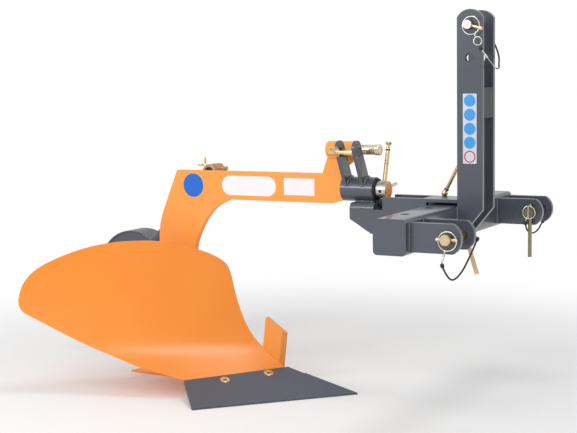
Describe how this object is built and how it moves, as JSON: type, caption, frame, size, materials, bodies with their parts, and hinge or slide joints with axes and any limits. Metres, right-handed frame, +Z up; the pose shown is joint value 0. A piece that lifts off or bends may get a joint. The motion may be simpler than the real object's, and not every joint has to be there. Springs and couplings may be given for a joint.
{
  "type": "moldboard plough",
  "caption": "Mounted single-furrow moldboard plough with a three-point hitch headstock, rolling beam and depth wheel.",
  "frame": {"origin": "middle of the bounding box at ground height", "axes": "+X forward along the way of travel, +Y to the landside (left), +Z up"},
  "size_m": [1.2052, 0.6544, 0.878],
  "materials": {
    "orange_paint": "semi-gloss powder coat",
    "grey_paint": "semi-gloss powder coat",
    "yellow_zinc": "yellow-passivated zinc",
    "black_cord": "matt"
  },
  "bodies": {
    "plough": {"main_shaft": "orange_paint", "roll_pin": "yellow_zinc", "beam": "orange_paint", "perch_tube": "orange_paint", "perch_pin": "yellow_zinc", "rod_front": "yellow_zinc", "share": "grey_paint", "share_bolt_front": "yellow_zinc", "share_bolt_rear": "yellow_zinc", "moldboard": "orange_paint", "landside": "orange_paint", "wheel_clamp": "orange_paint", "wing_screw": "yellow_zinc", "brace": "orange_paint"},
    "headstock": {"hitch_beam": "grey_paint", "cheek_right_outer": "grey_paint", "cheek_right_inner": "grey_paint", "cheek_left_inner": "grey_paint", "cheek_left_outer": "grey_paint", "lower_pin_right": "yellow_zinc", "lower_pin_left": "yellow_zinc", "mast_right": "grey_paint", "mast_left": "grey_paint", "mast_spacer": "grey_paint", "top_pin": "yellow_zinc", "linchpin_right": "yellow_zinc", "linchpin_left": "yellow_zinc", "linchpin_top": "yellow_zinc", "tether_ring_right": "yellow_zinc", "tether_ring_left": "yellow_zinc", "sleeve": "grey_paint", "saddle": "grey_paint", "lug_rear": "grey_paint", "lug_front": "grey_paint", "lug_bolt": "yellow_zinc", "rod_rear": "yellow_zinc", "tether_right": "black_cord", "tether_left": "black_cord", "tether_top": "black_cord"},
    "arm": {"wheel_arm": "orange_paint", "wheel_collar_inner": "yellow_zinc", "wheel_collar_outer": "yellow_zinc"},
    "wheel": {"wheel": "grey_paint"}
  },
  "joints": [
    {"name": "beam_roll", "type": "hinge", "parent": "plough", "child": "headstock", "pos_m": [0.28142, 0.0072, 0.483], "axis": [1, 0, 0], "range_deg": [-2, 12]},
    {"name": "wheel_height", "type": "hinge", "parent": "plough", "child": "arm", "pos_m": [-0.17558, 0.0147, 0.513], "axis": [0, 1, 0], "range_deg": [-15, 30]},
    {"name": "wheel_spin", "type": "hinge", "parent": "arm", "child": "wheel", "pos_m": [-0.49658, 0.1257, 0.234], "axis": [0, 1, 0], "continuous": true}
  ]
}
